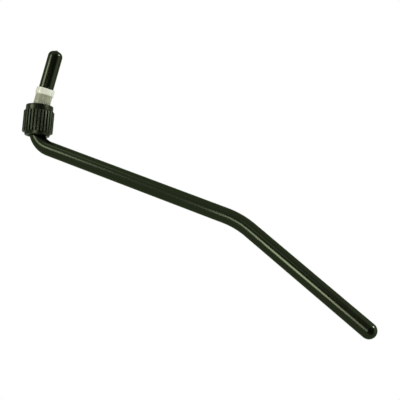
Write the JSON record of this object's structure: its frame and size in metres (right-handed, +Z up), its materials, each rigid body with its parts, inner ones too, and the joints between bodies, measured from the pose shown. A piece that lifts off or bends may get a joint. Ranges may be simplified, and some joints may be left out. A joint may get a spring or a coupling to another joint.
{
  "type": "guitar tremolo arm",
  "caption": "Bent steel tremolo arm for a guitar bridge, with a plug-in pin, a nylon bearing sleeve and a loose ribbed collar nut.",
  "frame": {"origin": "on the pin's axis, at the foot of the bare pin, where the nylon sleeve ends", "axes": "+Z up the pin to its tip, +X to the side that the arm reaches, +Y to complete a right-handed frame"},
  "size_m": [0.1605, 0.0124, 0.077],
  "materials": {
    "black_plated_steel": "gloss black plating with a faint green cast",
    "black_collar": "satin black plating",
    "sleeve_nylon": "natural white nylon, translucent, satin",
    "spring_steel": "plain spring steel",
    "washer_nylon": "white nylon, satin"
  },
  "bodies": {
    "arm": {"arm_bar": "black_plated_steel", "retaining_ring": "spring_steel"},
    "sleeve": {"nylon_sleeve": "sleeve_nylon"},
    "washer": {"slip_washer": "washer_nylon"},
    "collar": {"collar_nut": "black_collar"}
  },
  "joints": [
    {"name": "sleeve_turn", "type": "hinge", "parent": "arm", "child": "sleeve", "pos_m": [0, 0, 0], "axis": [0, 0, 1], "continuous": true},
    {"name": "collar_lift", "type": "hinge", "parent": "arm", "child": "washer", "pos_m": [0.02301, 0, -0.00793], "axis": [0, 1, 0], "range_deg": [0, 11.8]},
    {"name": "collar_turn", "type": "hinge", "parent": "washer", "child": "collar", "pos_m": [0.00199, 0, -0.01982], "axis": [-0.2045, 0, 0.9789], "continuous": true}
  ]
}
